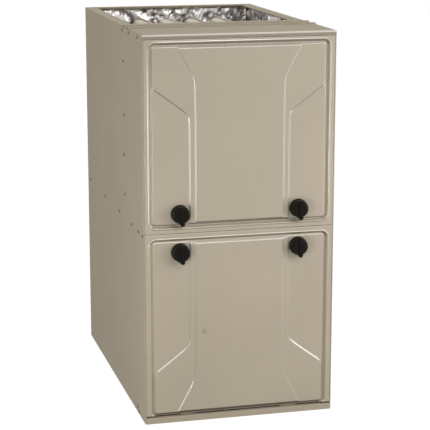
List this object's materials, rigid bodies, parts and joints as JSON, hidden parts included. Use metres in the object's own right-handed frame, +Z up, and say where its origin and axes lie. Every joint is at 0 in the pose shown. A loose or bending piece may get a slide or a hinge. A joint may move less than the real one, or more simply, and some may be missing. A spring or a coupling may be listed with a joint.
{
  "type": "forced air gas furnace",
  "caption": "Upflow forced-air gas furnace in a painted steel cabinet with two latched lift-off doors, clamshell heat exchangers and a direct-drive blower.",
  "frame": {"origin": "centre of the bounding box on the floor, under the middle of the cabinet", "axes": "+X to the right seen from the front, +Y from the doors to the back, +Z up"},
  "size_m": [0.4444, 0.744, 0.892],
  "materials": {
    "cabinet_paint": "satin textured beige enamel",
    "galvanised_steel": "galvanised sheet",
    "aluminised_steel": "aluminised sheet, warm grey",
    "coil_fins": "plain aluminium fins",
    "foil_blanket": "glass fibre blanket with a bright foil face",
    "black_iron": "black paint",
    "die_cast_alloy": "bare die casting",
    "bright_steel": "zinc plated",
    "brass_fitting": "plain brass",
    "ceramic": "unglazed white ceramic",
    "circuit_board": "green solder mask",
    "black_moulding": "black moulded plastic",
    "red_plastic": "red moulded plastic",
    "knob_black": "glossy black moulded plastic"
  },
  "bodies": {
    "casing": {"left_side_panel": "cabinet_paint", "right_side_panel": "cabinet_paint", "back_panel": "cabinet_paint", "top_plate": "cabinet_paint", "base_rail": "cabinet_paint", "bottom_closure_panel": "galvanised_steel", "centre_rail": "cabinet_paint", "blower_shelf": "galvanised_steel", "cell_panel": "galvanised_steel", "heat_exchanger_cell_1": "aluminised_steel", "heat_exchanger_cell_2": "aluminised_steel", "heat_exchanger_cell_3": "aluminised_steel", "heat_exchanger_cell_4": "aluminised_steel", "condensing_coil": "coil_fins", "transition_box": "aluminised_steel", "collector_box": "black_moulding", "insulation_left": "foil_blanket", "insulation_right": "foil_blanket", "insulation_back": "foil_blanket", "burner_box": "galvanised_steel", "burner_1": "aluminised_steel", "burner_2": "aluminised_steel", "burner_3": "aluminised_steel", "burner_4": "aluminised_steel", "gas_manifold": "black_iron", "gas_valve": "die_cast_alloy", "igniter": "ceramic", "flame_sensor": "ceramic", "rollout_switch": "black_moulding", "limit_switch": "brass_fitting", "inducer_housing": "black_moulding", "inducer_motor": "black_iron", "vent_tube": "black_moulding", "air_tube": "black_moulding", "pressure_switch": "black_moulding", "condensate_trap": "black_moulding", "blower_housing": "galvanised_steel", "blower_motor": "black_iron", "motor_bracket": "galvanised_steel", "control_tray": "galvanised_steel", "control_board": "circuit_board", "transformer": "black_iron", "door_switch": "black_moulding"},
    "upper_door_body": {"upper_door": "cabinet_paint"},
    "lower_door_body": {"lower_door": "cabinet_paint", "lower_door_plug": "cabinet_paint"},
    "upper_left_latch": {"upper_left_knob": "knob_black", "upper_left_cam": "bright_steel"},
    "upper_right_latch": {"upper_right_knob": "knob_black", "upper_right_cam": "bright_steel"},
    "lower_left_latch": {"lower_left_knob": "knob_black", "lower_left_cam": "bright_steel"},
    "lower_right_latch": {"lower_right_knob": "knob_black", "lower_right_cam": "bright_steel"},
    "blower_rotor": {"blower_wheel": "galvanised_steel", "blower_shaft": "bright_steel"},
    "inducer_rotor": {"inducer_wheel": "aluminised_steel"},
    "gas_switch_slider": {"gas_valve_switch": "red_plastic"},
    "rollout_button": {"rollout_reset_button": "red_plastic"},
    "door_switch_button": {"door_switch_plunger": "red_plastic"}
  },
  "joints": [
    {"name": "upper_door_tilt", "type": "hinge", "parent": "casing", "child": "upper_door_body", "pos_m": [0, -0.35, 0.878], "axis": [-1, 0, 0], "range_deg": [0, 30]},
    {"name": "lower_door_tilt", "type": "hinge", "parent": "casing", "child": "lower_door_body", "pos_m": [0, -0.352, 0.015], "axis": [1, 0, 0], "range_deg": [0, 30]},
    {"name": "upper_left_latch_turn", "type": "hinge", "parent": "upper_door_body", "child": "upper_left_latch", "pos_m": [-0.13825, -0.352, 0.4875], "axis": [0, -1, 0], "range_deg": [0, 90]},
    {"name": "upper_right_latch_turn", "type": "hinge", "parent": "upper_door_body", "child": "upper_right_latch", "pos_m": [0.13825, -0.352, 0.4875], "axis": [0, 1, 0], "range_deg": [0, 90]},
    {"name": "lower_left_latch_turn", "type": "hinge", "parent": "lower_door_body", "child": "lower_left_latch", "pos_m": [-0.13825, -0.352, 0.3995], "axis": [0, 1, 0], "range_deg": [0, 90]},
    {"name": "lower_right_latch_turn", "type": "hinge", "parent": "lower_door_body", "child": "lower_right_latch", "pos_m": [0.13825, -0.352, 0.3995], "axis": [0, -1, 0], "range_deg": [0, 90]},
    {"name": "blower_spin", "type": "hinge", "parent": "casing", "child": "blower_rotor", "pos_m": [0, 0.088, 0.215], "axis": [1, 0, 0], "continuous": true},
    {"name": "inducer_spin", "type": "hinge", "parent": "casing", "child": "inducer_rotor", "pos_m": [-0.03, -0.207, 0.59], "axis": [0, 1, 0], "continuous": true},
    {"name": "gas_switch_slide", "type": "slide", "parent": "casing", "child": "gas_switch_slider", "axis": [1, 0, 0], "range_m": [0, 0.009]},
    {"name": "rollout_button_pop", "type": "slide", "parent": "casing", "child": "rollout_button", "axis": [0, 0, -1], "range_m": [0, 0.002]},
    {"name": "door_switch_slide", "type": "slide", "parent": "casing", "child": "door_switch_button", "axis": [0, -1, 0], "range_m": [0, 0.0045]}
  ],
  "couplings": [
    {"joint": "door_switch_slide", "follows": "lower_door_tilt", "m_per_rad": 0.0083}
  ]
}
